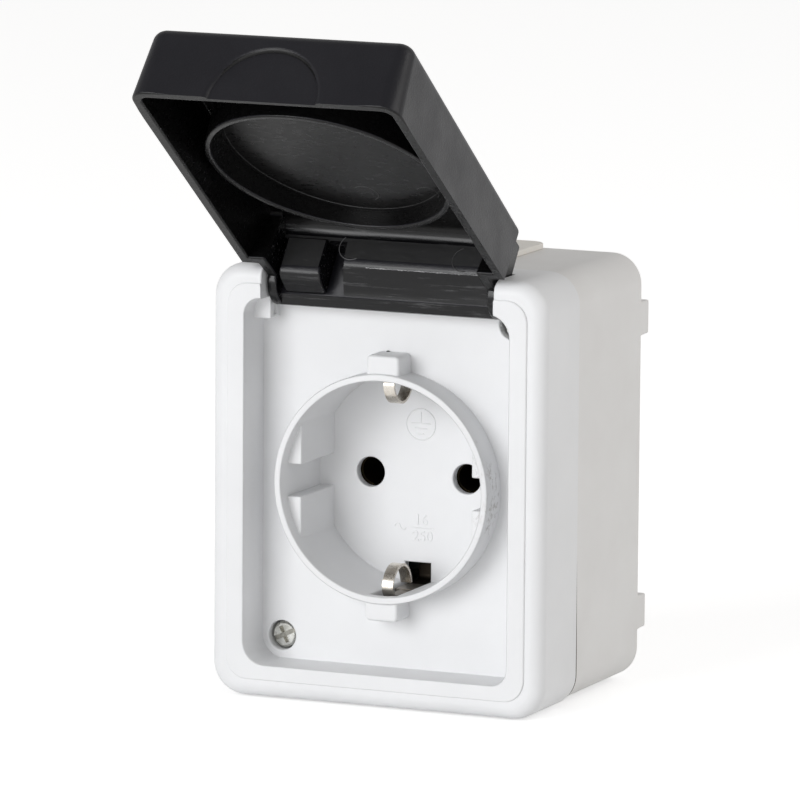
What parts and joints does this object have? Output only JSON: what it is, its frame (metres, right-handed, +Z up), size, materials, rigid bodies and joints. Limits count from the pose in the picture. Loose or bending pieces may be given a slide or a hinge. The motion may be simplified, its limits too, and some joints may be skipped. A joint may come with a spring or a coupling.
{
  "type": "outdoor weatherproof socket",
  "caption": "Surface-mounted earthed mains socket in a splash-proof box, with a sunk panel, round plug well and a hinged lid that folds up.",
  "frame": {"origin": "on the wall plane behind the wall feet, on the axis of the plug well and centre of the four wall holes", "axes": "+X to the right seen from the front, -Y out of the wall to the front, +Z up towards the hinge"},
  "size_m": [0.065, 0.1011, 0.1253],
  "materials": {
    "white_plastic": "satin moulded",
    "grey_plastic": "satin moulded",
    "black_plastic": "satin moulded",
    "ivory_rubber": "soft matt",
    "seal_rubber": "soft matt",
    "zinc_steel": "zinc plated",
    "nickel_strip": "nickel plated",
    "contact_brass": "bare",
    "insulator": "plain moulded"
  },
  "bodies": {
    "housing": {"base_box": "grey_plastic", "front_cover": "white_plastic", "housing_gasket": "seal_rubber", "cover_screw_seal_lower_left": "seal_rubber", "cover_screw_seal_upper_right": "seal_rubber", "cable_grommet": "ivory_rubber", "cover_screw_lower_left": "zinc_steel", "cover_screw_upper_right": "zinc_steel", "carrier_screw_left": "zinc_steel", "carrier_screw_right": "zinc_steel", "terminal_screw_left": "zinc_steel", "terminal_screw_right": "zinc_steel", "terminal_screw_earth": "zinc_steel", "clamp_plate_left": "zinc_steel", "clamp_plate_right": "zinc_steel", "clamp_plate_earth": "zinc_steel", "contact_carrier": "insulator", "contact_left": "contact_brass", "contact_right": "contact_brass", "earth_strap": "nickel_strip"},
    "lid": {"lid": "black_plastic"}
  },
  "joints": [
    {"name": "lid_hinge", "type": "hinge", "parent": "housing", "child": "lid", "pos_m": [0, -0.0445, 0.0362], "axis": [1, 0, 0], "range_deg": [0, 123]}
  ]
}
